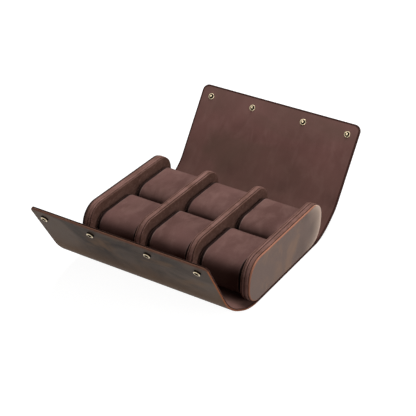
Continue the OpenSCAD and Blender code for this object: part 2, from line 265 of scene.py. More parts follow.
def waxed_leather(name, dark, mid, light, side_rim, rim_wide, rim_fade, gloss, pulled=None,
                  back_rim=None, tip_rim=None, far_highlight=None, left_rim_shade=None):
    """Oiled pull-up leather: cloudy wax blooms, fine grain, faint scratches and a burnished rim.

    The attribute hide is the place on the hide, and the mark rim the distance from the cut edge,
    which is burnished over rim_wide and fades over rim_fade. On the wrap, pulled is the colour
    where folding has worked the leather, and the rim is side_rim towards the front flap, back_rim
    beyond it, and tip_rim on the free edges, whose distance is the mark tip. On the end panels the
    rim turns from side_rim at the front to a painted highlight at the back, with painted light
    inside it, and is painted shade on the left panel."""
    p = Paint(bpy.data.materials.new(name))
    place = p.place("hide")
    blooms = p.noise(place, HIDE_BLOOMS, 4, 0.6, warp=0.7)
    tan = p.noise(place, HIDE_TAN, 4, 0.6, stretch=(0.7, 1.3, 1.0), warp=0.5)
    mottle = p.noise(place, HIDE_MOTTLE, 4, 0.6, warp=0.4)
    cells = {"Vector": place, "Scale": HIDE_GRAIN}
    grain = p.node("ShaderNodeTexVoronoi", cells, feature="DISTANCE_TO_EDGE")
    pores = p.noise(place, HIDE_PORES, 2, 0.6)
    scratches = p.noise(place, HIDE_SCRATCHES, 2, 0.5, stretch=(0.12, 1.0, 1.0), warp=2.0)
    scratches = scratches.step(0.66, 0.78)
    # paler, greyer sides: partly the leather's own tone, partly painted sheen
    sides = p.axis(place, "X").abs().step(*SIDE_PALER)
    body = p.mix((blooms.step(0.36, 0.66) * 0.7 + sides * 0.5).clip(), dark, mid)
    body = p.mix(tan.step(0.5, 0.72) * 0.6, body, light)
    body = p.mix(mottle.step(0.5, 0.8) * 0.2, body, light)
    body = p.mix(scratches * 0.14, body, light)
    rim = p.mark("rim")
    worn = 1.0 - (rim + (mottle - 0.5) * rim_fade).step(rim_wide, rim_wide + rim_fade)
    rim_colour = side_rim
    if pulled:
        run = p.axis(place, "Y").abs() + (tan - 0.5) * WORKED_SPREAD
        body = p.mix(run.step(*WORKED) * (1.0 - run.step(*PLAIN)) * 0.8, body, pulled)
        rim_colour = p.mix(p.axis(place, "Y").step(*BACK_RIM), side_rim, back_rim)
        tip = p.mark("tip")
        off_tip = tip.step(TIP_WIDE + TIP_FADE, TIP_WIDE + 2 * TIP_FADE)
        rim_colour = p.mix(off_tip, tip_rim, rim_colour)
        tip_plain = (tip + (mottle - 0.5) * TIP_FADE).step(TIP_WIDE, TIP_WIDE + TIP_FADE)
        worn = (worn + 1.0 - tip_plain).clip()
    # painted highlight on the far rim and painted light inside it, towards the back
    if far_highlight:
        rim_colour = p.mix(p.axis(place, "Y").step(*FAR_HIGHLIGHT_RUN), side_rim, far_highlight)
        # painted shade on the left panel's rim
        rim_colour = p.mix(p.axis(place, "X").step(*MIDDLE), left_rim_shade, rim_colour)
        glow = (1.0 - rim.step(*PAINTED_LIGHT_BROAD)) * 0.6 + (1.0 - rim.step(*PAINTED_LIGHT_CLOSE)) * 0.4
        body = p.mix(glow * p.axis(place, "Y").step(*FAR_PAINTED_LIGHT), body, far_highlight)
    body = p.mix(worn, body, rim_colour)
    height = grain.step(0.0, 0.25) * 0.5 + pores * 0.3 + mottle * 0.4
    return p.finish(
        Base_Color=body,
        Roughness=(0.48 + blooms * 0.2 - scratches * 0.06),
        Normal=p.bump(height, GRAIN_DEEP, 0.5),
        Specular_IOR_Level=gloss,
    )


def aged_brass(name, bright, film, rough, wear=None):
    """Antiqued brass: bright where it is rubbed, brown to black in its film.

    wear is the name of the marks that are 1 on rubbed rims and 0 in recesses."""
    p = Paint(bpy.data.materials.new(name))
    place = p.place()
    clouds = p.noise(place, BRASS_CLOUDS, 4, 0.6)
    specks = p.noise(place, BRASS_SPECKS, 2, 0.5)
    kept = clouds.step(0.42, 0.75) * 0.5
    if wear:
        kept = (kept + (1.0 - p.mark(wear))).clip()
    return p.finish(
        Base_Color=p.mix(kept, bright, film),
        Metallic=1.0,
        Roughness=(rough + kept * 0.25),
        Normal=p.bump(specks, SPECKS_DEEP, 0.25),
    )


suede_wall = suede(
    "suede_wall", dark=srgb(80, 56, 47), mid=srgb(96, 69, 60), light=srgb(126, 96, 86),
    sheen=0.15, seam="crease", painted_highlight=srgb(128, 96, 90), tufted=0.55)
suede_pillow = suede(
    "suede_pillow", dark=srgb(80, 56, 52), mid=srgb(97, 70, 66), light=srgb(130, 102, 95),
    sheen=0.12, seam="crease", painted_highlight=srgb(186, 154, 146), low_shade=srgb(58, 42, 36))
suede_lining = suede(
    "suede_lining", dark=srgb(82, 55, 51), mid=srgb(94, 64, 60), light=srgb(118, 90, 84),
    attribute="hide", patches=srgb(76, 58, 50), rim_dark=srgb(54, 33, 29),
    front_tip=srgb(30, 18, 14))
suede_board = suede(
    "suede_board", dark=srgb(74, 47, 42), mid=srgb(86, 57, 52), light=srgb(120, 88, 82))
leather_wrap = waxed_leather(
    "leather_wrap", dark=srgb(38, 31, 28), mid=srgb(98, 86, 78), light=srgb(112, 86, 64),
    side_rim=srgb(138, 84, 56), rim_wide=0.5 * MM, rim_fade=0.5 * MM, gloss=0.04,
    pulled=srgb(92, 68, 48), back_rim=srgb(66, 34, 28), tip_rim=srgb(90, 62, 50))
leather_panel = waxed_leather(
    "leather_panel", dark=srgb(98, 81, 73), mid=srgb(122, 103, 95), light=srgb(148, 118, 98),
    side_rim=srgb(150, 102, 82), rim_wide=0.35 * MM, rim_fade=1.1 * MM, gloss=0.08,
    far_highlight=srgb(216, 190, 172), left_rim_shade=srgb(48, 30, 25))
brass = aged_brass("aged_brass", bright=srgb(196, 180, 138), film=srgb(110, 90, 58), rough=0.26)
snap_brass = aged_brass(
    "snap_brass", bright=srgb(226, 207, 172), film=srgb(20, 14, 11), rough=0.22, wear="wear")


# -------------------------------------------------------------- mesh making

def closed_piece(name, points, material, marks=None, places=None, sharp=40):
    """A mesh from rings of points, rows x columns x 3, with a flat lid on the first and last ring.

    Quads join neighbouring points and close round the columns; the winding is turned where the
    volume comes out negative. A leading axis makes copies. marks are numbers and places are vectors
    to store at each point, and edges that turn by more than sharp degrees stay sharp."""
    rows, columns = points.shape[-3:-1]
    flat = points.reshape(-1, rows * columns, 3)
    row, column = np.meshgrid(np.arange(rows - 1), np.arange(columns), indexing="ij")
    here, there = row * columns, (row + 1) * columns
    beside = (column + 1) % columns
    quads = np.stack([here + column, here + beside, there + beside, there + column], -1)
    quads = quads.reshape(-1, 4)
    lids = [np.arange(columns)[::-1], np.arange(columns) + (rows - 1) * columns]
    corner = [flat[0][quads[:, i]] for i in range(4)]
    volume = np.einsum("ij,ij->i", corner[0], np.cross(corner[1], corner[2])).sum()
    volume += np.einsum("ij,ij->i", corner[0], np.cross(corner[2], corner[3])).sum()
    for lid in lids:
        fan = flat[0][lid]
        volume += (np.cross(fan[1:-1], fan[2:]) @ fan[0]).sum()
    turn = -1 if volume < 0 else 1
    faces = []
    for copy in range(len(flat)):
        start = copy * rows * columns
        faces += (quads[:, ::turn] + start).tolist()
        faces += [(lid[::turn] + start).tolist() for lid in lids]
    mesh = bpy.data.meshes.new(name)
    mesh.from_pydata(flat.reshape(-1, 3).tolist(), [], faces)
    for key, values in (marks or {}).items():
        store = mesh.attributes.new(key, "FLOAT", "POINT")
        store.data.foreach_set("value", values.ravel().astype(np.float32))
    for key, values in (places or {}).items():
        store = mesh.attributes.new(key, "FLOAT_VECTOR", "POINT")
        store.data.foreach_set("vector", values.ravel().astype(np.float32))
    mesh.materials.append(material)
    mesh.polygons.foreach_set("use_smooth", np.ones(len(faces), bool))
    mesh.set_sharp_from_angle(angle=radians(sharp))
    mesh.update()
    obj = bpy.data.objects.new(name, mesh)
    bpy.context.scene.collection.objects.link(obj)
    return obj


# -------------------------------------------------------------- the wrap

# Points across a strip and round the quarter arcs of its edges, and their radius as a part of its
# thickness, which leaves a narrow flat between the two arcs
STRIP_ACROSS = 41
STRIP_ARC = 5
STRIP_ROUND = 0.42
# Rings over a bend, along the flat end and the base, and round the corners and the tip of a flap
BEND_RINGS = 13
FLAP_RINGS = 30
BASE_RINGS = 24
CORNER_RINGS = 15
TIP_RINGS = 6
# Reach of the tip's closely spaced rings
TIP_REACH = 0.9 * LINING_T


def strip_section(half_wide, thick, round_r):
    """Ring of points (x, depth) round a strip's cross-section.

    The two faces run across, and the side edges are rounded by quarter arcs."""
    span = np.linspace(-1, 1, STRIP_ACROSS) * (half_wide - round_r)
    arc = np.linspace(0, pi / 2, STRIP_ARC + 1)
    top = np.stack([span, np.zeros(STRIP_ACROSS)], -1)
    bottom = np.stack([span[::-1], np.full(STRIP_ACROSS, thick)], -1)
    edge_x = half_wide - round_r + round_r * np.sin(arc)
    upper = np.stack([edge_x, round_r - round_r * np.cos(arc)], -1)[1:]
    lower = np.stack([upper[::-1, 0], thick - upper[::-1, 1]], -1)
    right = np.concatenate([upper, lower])
    left = right[::-1] * [-1, 1]
    return np.concatenate([top, right, bottom, left])


def bend_curve(before, corner, after, steps):
    """Quadratic curve from before to after that touches both lines through the corner."""
    t = np.linspace(0, 1, steps)[:, None]
    points = (1 - t) ** 2 * before + 2 * t * (1 - t) * corner + t ** 2 * after
    tangent = 2 * (1 - t) * (corner - before) + 2 * t * (after - corner)
    return points, tangent / np.linalg.norm(tangent, axis=1, keepdims=True)


def flap_lines(side):
    """Fold points and directions of a flap's inner face as it stands open, from its joints.

    Points are (distance outwards along Y, height); the last direction is the flap's own."""
    words = "front" if side < 0 else "back"
    folds = [j for j in frame["joints"] if j["name"].startswith(words) and "fold" in j["name"]]
    places = ([side * j["pos_m"][1], j["pos_m"][2]] for j in folds)
    points = np.array(sorted(places, key=lambda place: place[0]))
    rise = FRONT_RISE if side < 0 else BACK_RISE
    steps = np.diff(points, axis=0)
    directions = steps / np.linalg.norm(steps, axis=1, keepdims=True)
    directions = np.concatenate([[[1.0, 0.0]], directions, [[cos(rise), sin(rise)]]])
    return points, directions


def flap_length(side):
    """Length of a flap's flat end, from its last fold line to its free edge."""
    words = "front" if side < 0 else "back"
    points, directions = flap_lines(side)
    low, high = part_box(f"{words}_flap_lining")
    reach = (-low.y if side < 0 else high.y) - LINING_T * directions[-1][1]
    return (reach - points[-1][0]) / directions[-1][0]


def sheet_piece(name, side, path, tangent, run, depth, thick, material, end_at=None, corner_r=0):
    """A stretch of one layer of the wrap: a strip's cross-section carried along the path.

    Towards end_at, the run at the free edge, the strip narrows round its corner radius and its
    thickness closes in a quarter arc, so that the flap's end is as rounded as its sides."""
    half = WRAP_HALF
    normal = np.stack([tangent[:, 1], -tangent[:, 0]], -1)
    round_r = STRIP_ROUND * thick
    rings, hides, rims, tips = [], [], [], []
    section = strip_section(half, thick, round_r)
    for here, out, at in zip(path, normal, run):
        ring = section.copy()
        shrink, left = 0.0, 1.0
        if end_at is not None:
            left = end_at - at
            if left < corner_r:
                shrink = corner_r - np.sqrt(max(corner_r ** 2 - (corner_r - left) ** 2, 0))
            close = np.sqrt(max(1 - (1 - min(left / round_r, 1)) ** 2, 0))
            centre = np.clip(ring[:, 1], round_r, thick - round_r)
            ring[:, 1] = centre + (ring[:, 1] - centre) * close
        ring[:, 0] *= (half - shrink) / half
        yz = here + np.outer(depth + ring[:, 1], out)
        rings.append(np.stack([ring[:, 0], side * yz[:, 0], yz[:, 1]], -1))
        hides.append(np.stack([ring[:, 0], np.full(len(ring), side * at), depth + ring[:, 1]], -1))
        rims.append(np.minimum(half - shrink - np.abs(ring[:, 0]), left))
        tips.append(np.full(len(ring), left))
    marks = {"rim": np.array(rims), "tip": np.array(tips)}
    return closed_piece(name, np.array(rings), material, marks, {"hide": np.array(hides)})


WRAP_HALF = (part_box("wrap_base_leather")[1].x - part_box("wrap_base_leather")[0].x) / 2
# Name, depth of its inner face, thickness and material of each layer
LAYERS = (("leather", LINING_T, LEATHER_T, leather_wrap), ("lining", 0.0, LINING_T, suede_lining))


def make_flap(side):
    """One flap of the wrap: a bend over each fold line, and the flat end.

    Returns how far its first bend reaches under the tray."""
    words, corner_r = ("front", FRONT_CORNER_R) if side < 0 else ("back", BACK_CORNER_R)
    points, directions = flap_lines(side)
    lengths = np.linalg.norm(np.diff(points, axis=0), axis=1)
    reach = np.concatenate([[lengths[0] / 2], lengths / 2, [lengths[-1] / 2]])
    run = 0.0
    for i, corner in enumerate(points):
        before = corner - directions[i] * reach[i]
        after = corner + directions[i + 1] * reach[i + 1]
        path, tangent = bend_curve(before, corner, after, BEND_RINGS)
        steps = np.linalg.norm(np.diff(path, axis=0), axis=1)
        runs = run + np.concatenate([[0], np.cumsum(steps)])
        run = runs[-1]
        for layer, depth, thick, material in LAYERS:
            piece = sheet_piece(f"{words}_bend_{i + 1}_{layer}", side, path, tangent,
                                runs + points[0][0], depth, thick, material)
            "wrap_leather" if layer == "leather" else "suede"
            if i < 5:
                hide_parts(f"{words}_fold_{i + 1}_{layer}")
            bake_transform(piece)
    total = flap_length(side)
    start = reach[-1]
    flat = np.linspace(start, total - corner_r, FLAP_RINGS)
    rounded = total - corner_r * (1 - np.cos(np.linspace(pi / 2, 0, CORNER_RINGS)))
    tip = total - TIP_REACH * (1 - np.sin(np.linspace(0, pi / 2, TIP_RINGS)))
    along = np.unique(np.concatenate([flat, rounded, tip]))
    path = points[-1] + along[:, None] * directions[-1]
    tangent = np.repeat(directions[-1:], len(along), 0)
    offset = run + points[0][0] - start
    for layer, depth, thick, material in LAYERS:
        piece = sheet_piece(f"{words}_flap_{layer}_sheet", side, path, tangent, along + offset,
                            depth, thick, material, total + offset, corner_r)
        "wrap_leather" if layer == "leather" else "suede"
        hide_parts(f"{words}_flap_{layer}")
        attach(piece, f"{words}_flap")
    return reach[0]


def make_base(front_reach, back_reach):
    """The wrap's flat base between the first bends of the two flaps."""
    front, back = flap_lines(-1)[0][0], flap_lines(1)[0][0]
    along = np.linspace(-front[0] + front_reach, back[0] - back_reach, BASE_RINGS)
    path = np.stack([along, np.full(len(along), WRAP_T)], -1)
    tangent = np.tile([1.0, 0.0], (len(along), 1))
    for layer, depth, thick, material in LAYERS:
        piece = sheet_piece(f"wrap_base_{layer}_sheet", 1, path, tangent, along, depth, thick,
                            material)
        "wrap_leather" if layer == "leather" else "suede"
        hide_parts(f"wrap_base_{layer}")
        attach(piece, "case_base")


make_base(make_flap(-1), make_flap(1))


# -------------------------------------------------------------- walls and end panels

# Smallest corner radius that keeps the points of a ring apart
LEAST_R = 0.02 * MM
# How far the suede lies inside the CAD's side faces, towards the bays and towards an end panel
BAY_SKIN, PANEL_SKIN = 0.05 * MM, 0.1 * MM
# Insets of the side faces, of the facings' rims and of the cover's rim from the tray's outline
FACE_IN, FACING_IN, COVER_IN = 2.2 * MM, 0.75 * MM, 0.35 * MM
# Edge radii of the facings' rims, the cover's rim and its narrow strip at an end wall, and crowns
FACING_ROUND, COVER_ROUND, STRIP_EDGE_R = 0.8 * MM, 0.9 * MM, 0.6 * MM
COVER_CROWN, STRIP_CROWN = 0.25 * MM, 0.1 * MM
# Half widths of the groove beside a facing and of the crease in an end wall's cover
GROOVE_HALF, CREASE_HALF = 0.15 * MM, 0.12 * MM
# Depth of the grooves, on the left end wall and elsewhere, and the parts of it that each reaches
GROOVE_LEFT, GROOVE = 0.8 * MM, 1.9 * MM
GROOVE_PART, CREASE_PART = 0.7, 0.42
# Place of the crease from the facing, and of the left end wall's shaded lines from the bay
CREASE_FROM_FACING = 3.4 * MM
LEFT_LINES = (FACING_T, 1.3 * MM, 0.75 * MM)
# Depth and width of the painted shade along the sewn lines and the left end wall's outer edge
SEWN_SHADE, LEFT_SHADE, EDGE_SHADE = 0.9, 0.4, 0.95
SEWN_WIDE, EDGE_WIDE = 0.4 * MM, 1.8 * MM
# How far in from the rim the lines run, and the width of the painted highlight along it
LINES_IN, HIGHLIGHT_WIDE = 4 * MM, 1.1 * MM
# End panel: inset of its inner face, drop of its rim and rise of its low dome
PANEL_FACE_IN, PANEL_DROP, PANEL_DOME = 0.4 * MM, 0.05 * MM, 0.15 * MM


def rounded_outline(half_y, half_z, corner_r, inset, arc_steps=14, straight=(30, 12)):
    """Ring of (y, z) round a rounded rectangle drawn in by inset, always with as many points.

    Four quarter arcs of radius corner_r - inset, joined by straight runs of points along y and
    along z; past corner_r they are corners."""
    reach_y, reach_z = half_y - inset, half_z - inset
    radius = min(max(corner_r - inset, LEAST_R), reach_z)
    arc = np.linspace(0, pi / 2, arc_steps)
    ring = []
    for quarter, (sign_y, sign_z) in enumerate(((1, -1), (1, 1), (-1, 1), (-1, -1))):
        angle = arc + (quarter - 1) * pi / 2
        centre = np.array([sign_y * (reach_y - radius), sign_z * (reach_z - radius)])
        ring.append(centre + radius * np.stack([np.cos(angle), np.sin(angle)], -1))
    full = []
    for quarter in range(4):
        here, there = ring[quarter], ring[(quarter + 1) % 4]
        count = straight[1] if quarter % 2 == 0 else straight[0]
        t = np.linspace(0, 1, count + 2)[1:-1, None]
        full += [here, here[-1] * (1 - t) + there[0] * t]
    return np.concatenate(full)


def outline_rings(profile, *outline, **steps):
    """Rings of (x, y, z) round an outline, one for each (x, inset) of a profile."""
    rings = []
    for x, inset in profile:
        ring = rounded_outline(*outline, inset, **steps)
        rings.append(np.concatenate([np.full((len(ring), 1), x), ring], 1))
    return np.array(rings)


def lathe_wall(name, centre_z, half_y, half_z, corner_r, profile, material, lines=None):
    """A slab with the tray's rounded outline, from a profile of (x, inset) points carried round it.

    The profile runs from the middle of one side face, over the rim, to the middle of the other.
    lines are the x places where shade is painted along sewn grooves and the left end wall's outer
    edge, each with its depth of shade and its width, and are stored as bell-shaped stripes in the
    mark crease. A slab without them is a hide, and stores its places and their distance from the
    rim instead."""
    points = outline_rings(profile, half_y, half_z, corner_r)
    insets = np.repeat([[inset] for _, inset in profile], points.shape[1], 1)
    points[:, :, 2] += centre_z
    if lines is None:
        return closed_piece(name, points, material, {"rim": insets}, {"hide": points}, sharp=50)
    # painted shade in bell-shaped stripes along the lines
    crease = np.zeros(insets.shape)
    for x, shade, wide in lines:
        stripe = np.exp(-((points[:, :, 0] - x) / wide) ** 2) * (insets < LINES_IN)
        crease = np.maximum(crease, shade * stripe)
    marks = {"crease": crease, "painted_highlight": np.exp(-(insets / HIGHLIGHT_WIDE) ** 2)}
    return closed_piece(name, points, material, marks, sharp=50)


def face_rows_in(x, inset, to, steps=9):
    """Profile points that run over a side face at x, from near its middle line out to inset."""
    t = np.linspace(1, 0, steps) ** 1.6
    return [(x, inset + (to - inset) * v) for v in t]


def band(x0, x1, inset, edge_r, crown):
    """Profile points over a strip of the rim from x0 to x1: rounded edges and a low crown."""
    arc = np.linspace(0, pi / 2, 5)
    rise = [(x0 + edge_r * (1 - np.cos(a)), inset + edge_r * (1 - np.sin(a))) for a in arc]
    t = np.linspace(-1, 1, 9)[1:-1]
    flat = [((x0 + x1) / 2 + v * ((x1 - x0) / 2 - edge_r), inset - crown * (1 - v * v)) for v in t]
    fall = [(x0 + x1 - x, i) for x, i in rise[::-1]]
    return rise + flat + fall


def make_divider(side):
    """Divider: suede facings on both sides of a covered board, with a groove between them."""
    words = "left" if side < 0 else "right"
    low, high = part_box(f"{words}_divider_facings")
    cover_low, cover_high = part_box(f"{words}_divider_cover")
    half_y, half_z = (cover_high.y - cover_low.y) / 2, (cover_high.z - cover_low.z) / 2
    x0, x1 = low.x, high.x
    deep = half_z - LID_GAP
    floor_in = FACING_IN + GROOVE * GROOVE_PART
    profile = face_rows_in(x0 + BAY_SKIN, FACE_IN, deep)
    profile += band(x0 + BAY_SKIN, x0 + FACING_T - GROOVE_HALF, FACING_IN, FACING_ROUND, 0.0)
    profile += [(x0 + FACING_T, floor_in)]
    profile += band(x0 + FACING_T + GROOVE_HALF, x1 - FACING_T - GROOVE_HALF, COVER_IN, COVER_ROUND,
                    COVER_CROWN)
    profile += [(x1 - FACING_T, floor_in)]
    profile += band(x1 - FACING_T + GROOVE_HALF, x1 - BAY_SKIN, FACING_IN, FACING_ROUND, 0.0)
    profile += face_rows_in(x1 - BAY_SKIN, FACE_IN, deep)[::-1]
    wall = lathe_wall(f"{words}_divider", (cover_low.z + cover_high.z) / 2, half_y, half_z,
                      TRAY_CORNER_R, profile, suede_wall,
                      [(x, SEWN_SHADE, SEWN_WIDE) for x in (x0 + FACING_T, x1 - FACING_T)])
    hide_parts(f"{words}_divider_cover", f"{words}_divider_board",
                f"{words}_divider_facings")
    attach(wall, "case_base")


def make_end_wall(side):
    """End wall: a facing towards the bay, a covered board with a crease, and the panel outside."""
    words = "left" if side < 0 else "right"
    low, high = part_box(f"{words}_end_wall_cover")
    face_low, face_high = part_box(f"{words}_end_wall_facing")
    half_y, half_z = (high.y - low.y) / 2, (high.z - low.z) / 2
    inner, outer = (face_low.x, high.x) if side > 0 else (-face_high.x, -low.x)
    facing_x = inner + FACING_T
    crease_x = facing_x + CREASE_FROM_FACING
    if side > 0:
        groove = GROOVE
        lines = [(x, SEWN_SHADE, SEWN_WIDE) for x in (facing_x, crease_x, outer)]
    else:
        groove = GROOVE_LEFT
        lines = [(-inner - x, LEFT_SHADE, SEWN_WIDE) for x in LEFT_LINES]
        lines.append((-outer, EDGE_SHADE, EDGE_WIDE))
    deep = half_z - LID_GAP
    profile = face_rows_in(inner + BAY_SKIN, FACE_IN, deep)
    profile += band(inner + BAY_SKIN, facing_x - GROOVE_HALF, FACING_IN, FACING_ROUND, 0.0)
    profile += [(facing_x, FACING_IN + groove * GROOVE_PART)]
    profile += band(facing_x + GROOVE_HALF, crease_x - CREASE_HALF, COVER_IN, STRIP_EDGE_R,
                    STRIP_CROWN)
    profile += [(crease_x, COVER_IN + groove * CREASE_PART)]
    profile += band(crease_x + CREASE_HALF, outer - PANEL_SKIN, COVER_IN, COVER_ROUND, COVER_CROWN)
    profile += face_rows_in(outer - PANEL_SKIN, FACE_IN, deep)[::-1]
    profile = [(side * x, inset) for x, inset in profile]
    wall = lathe_wall(f"{words}_end_wall", (low.z + high.z) / 2, half_y, half_z, TRAY_CORNER_R,
                      profile, suede_wall, lines)
    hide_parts(f"{words}_end_wall_cover", f"{words}_end_wall_board",
                f"{words}_end_wall_facing")
    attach(wall, "case_base")
    make_end_panel(side, words)


def make_end_panel(side, words):
    """Leather panel: a flat hide with a rounded rim, slightly domed towards its middle."""
    low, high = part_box(f"{words}_end_panel")
    half_y, half_z = (high.y - low.y) / 2, (high.z - low.z) / 2
    inner, outer = (low.x, high.x) if side > 0 else (-high.x, -low.x)
    deep = half_z - LID_GAP
    arc = np.linspace(0, pi / 2, 7)
    profile = face_rows_in(inner, PANEL_FACE_IN, deep, 4)
    profile += [(outer - PANEL_EDGE_R - PANEL_DROP + PANEL_EDGE_R * np.sin(a) * 0.9,
                 PANEL_EDGE_R * (1 - np.cos(a))) for a in arc]
    spread = np.linspace(0, 1, 14)[1:] ** 1.5
    profile += [(outer - PANEL_DOME + PANEL_DOME * min(s * 3, 1),
                 PANEL_EDGE_R + (deep - PANEL_EDGE_R) * s) for s in spread]
    profile = [(side * x, inset) for x, inset in profile]
    corner_r = TRAY_CORNER_R - (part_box(f"{words}_end_wall_cover")[1].y - high.y)
    panel = lathe_wall(f"{words}_panel", (low.z + high.z) / 2, half_y, half_z, corner_r, profile,
                       leather_panel)
    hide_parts(f"{words}_end_panel")
    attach(panel, "case_base")


for tray_side in (-1, 1):
    make_divider(tray_side)
    make_end_wall(tray_side)


# -------------------------------------------------------------- pillows

PILLOW_R = 18 * MM
PILLOW_END_R = 3.6 * MM
# Rings over each flat end, round its edge, and along the sleeve
END_RINGS = 8
TURN_RINGS = 7
SLEEVE_RINGS = 61
# Room left for the cover to swell into, and the most that it swells
SWELL = 1.2 * MM
# Cloth run: voxels of the coarse form, frames, quality, stiffness, and pressure on the first pillow
# with what each next one has more
VOXEL = 4.5 * MM
CLOTH_FRAMES = 20
CLOTH_QUALITY = 6
CLOTH_STIFFNESS = 12
PRESSURE, PRESSURE_MORE = 4.0, 0.4
# The run is read off from so many nearest points, by the square of their distance plus a softener
NEAREST = 6
SOFTENER = 0.5 * MM
# Sewn ring of an end disc: place from the end, half width, depth and shade
SEAM_FROM_END, SEAM_WIDE, SEAM_DEEP, SEAM_MARK = 6.4 * MM, 0.5 * MM, 0.55 * MM, 0.6
# Painted shade in a band round an end disc, for the dark gap beside it: its reach and fade, and
# the painted shade of the flat end
GAP_SHADE_REACH, GAP_SHADE_FADE, FLAT_END_SHADE = 4.7 * MM, 0.2 * MM, 0.2
# Painted highlight line beside the band of painted shade
HIGHLIGHT_LINE_AT, HIGHLIGHT_LINE_WIDE = 5.3 * MM, 0.35 * MM
# Heights over the middle, as parts of a pillow's height, between which painted shade darkens the
# lower sides
LOW_SHADE_FROM, LOW_SHADE_OVER = 0.49, 0.4


def pillow_surface(low, high, slack):
    """Points of a pillow drawn in by slack: a rounded section carried from end to end.

    Rings close towards each end in a quarter arc of PILLOW_END_R, then run in to the middle of the
    end face."""
    half = (Vector(high) - Vector(low)) / 2 - Vector((slack, slack, slack))
    arc = np.linspace(0, pi / 2, TURN_RINGS)[::-1]
    turn = [(half.x - PILLOW_END_R * (1 - np.sin(a)), PILLOW_END_R * (1 - np.cos(a))) for a in arc]
    reach = half.z - PILLOW_END_R - LID_GAP
    flat = [(half.x, PILLOW_END_R + reach * v) for v in np.linspace(1, 0, END_RINGS + 1)[:-1]]
    along = np.linspace(1, -1, SLEEVE_RINGS)[1:-1] * (half.x - PILLOW_END_R)
    right = flat + turn
    profile = right + [(x, 0.0) for x in along] + [(-x, inset) for x, inset in right[::-1]]
    return outline_rings(profile, half.y, half.z, PILLOW_R, arc_steps=16, straight=(26, 14))


def vertex_places(mesh):
    """Places of a mesh's points, as points x 3."""
    places = np.empty(len(mesh.vertices) * 3, np.float32)
    mesh.vertices.foreach_get("co", places)
    return places.reshape(-1, 3).astype(float)


def swollen(points, number):
    """How far each point moves when the cover is blown up, with more pressure for a higher number.

    A cloth run moves a coarse copy, and each point takes the mean move of its nearest points there,
    weighted by one over the square of their distance."""
    coarse = closed_piece("pillow_form", points, suede_pillow)
    remesh = coarse.modifiers.new("voxels", "REMESH")
    remesh.mode, remesh.voxel_size = "VOXEL", VOXEL
    bpy.context.view_layer.objects.active = coarse
    bpy.ops.object.modifier_apply(modifier="voxels")
    before = vertex_places(coarse.data)
    cloth = coarse.modifiers.new("cloth", "CLOTH")
    cloth.settings.use_pressure = True
    cloth.settings.uniform_pressure_force = PRESSURE + PRESSURE_MORE * number
    cloth.settings.quality = CLOTH_QUALITY
    cloth.settings.tension_stiffness = cloth.settings.compression_stiffness = CLOTH_STIFFNESS
    cloth.settings.effector_weights.gravity = 0
    scene = bpy.context.scene
    scene.frame_start, scene.frame_end = 1, CLOTH_FRAMES
    for step in range(1, CLOTH_FRAMES + 1):
        scene.frame_set(step)
    bpy.ops.object.modifier_apply(modifier="cloth")
    moved = vertex_places(coarse.data) - before
    scene.frame_set(1)
    bpy.data.objects.remove(coarse)
    moves = []
    for ring in points:
        far = np.linalg.norm(ring[:, None] - before, axis=2)
        nearest = np.argpartition(far, NEAREST, axis=1)[:, :NEAREST]
        weight = 1 / (np.take_along_axis(far, nearest, axis=1) + SOFTENER) ** 2
        moves.append((moved[nearest] * weight[:, :, None]).sum(1) / weight.sum(1)[:, None])
    return np.array(moves)


def make_pillow(row, place, blown):
    """Pillow: a suede sleeve with an end disc sewn in at each end, plump between its corners."""
    name = f"{row}_{place}_pillow"
    low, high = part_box(f"{name}_sleeve")
    centre = np.array((low + high) / 2)
    points = pillow_surface(low, high, SWELL)
    reach = np.linalg.norm(blown, axis=2, keepdims=True)
    points = points + blown * np.minimum(1.0, SWELL / np.maximum(reach, 1e-9))
    x, half = np.abs(points[:, :, 0]), (high.x - low.x) / 2
    seam = np.exp(-((x - half + SEAM_FROM_END) / SEAM_WIDE) ** 2)
    from_end = half - x - SWELL
    # painted highlight line just inside the band of painted shade
    highlight_line = np.exp(-((from_end - HIGHLIGHT_LINE_AT) / HIGHLIGHT_LINE_WIDE) ** 2)
    # painted shade on the rounded end and the flat end, where the gap beside the wall is dark
    disc = np.clip(1 - (from_end - GAP_SHADE_REACH) / GAP_SHADE_FADE, 0, 1)
    disc[:END_RINGS] = disc[-END_RINGS:] = FLAT_END_SHADE
    inward = -points / np.linalg.norm(points, axis=2, keepdims=True)
    inward[:, :, 0] = 0
    points = points + inward * (seam[:, :, None] * SEAM_DEEP)
    tall = high.z - low.z
    # painted shade, stronger towards the bottom of the pillow
    fall = np.clip((LOW_SHADE_FROM * tall - points[:, :, 2]) / (LOW_SHADE_OVER * tall), 0, 1)
    marks = {"crease": np.maximum(seam * SEAM_MARK, disc), "painted_highlight": highlight_line * (1 - disc),
             "fall": fall}
    pillow = closed_piece(name, points + centre, suede_pillow, marks, sharp=60)
    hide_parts(f"{name}_sleeve", f"{name}_foam")
    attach(pillow, name)


def make_pillows():
    """The six pillows, two to a bay."""
    low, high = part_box("front_left_pillow_sleeve")
    shape = pillow_surface(low, high, SWELL)
    spots = [(row, place) for row in ("front", "back") for place in ("left", "middle", "right")]
    for number, (row, place) in enumerate(spots):
        blown = swollen(shape, number)
        make_pillow(row, place, blown)


make_pillows()


# -------------------------------------------------------------- snaps

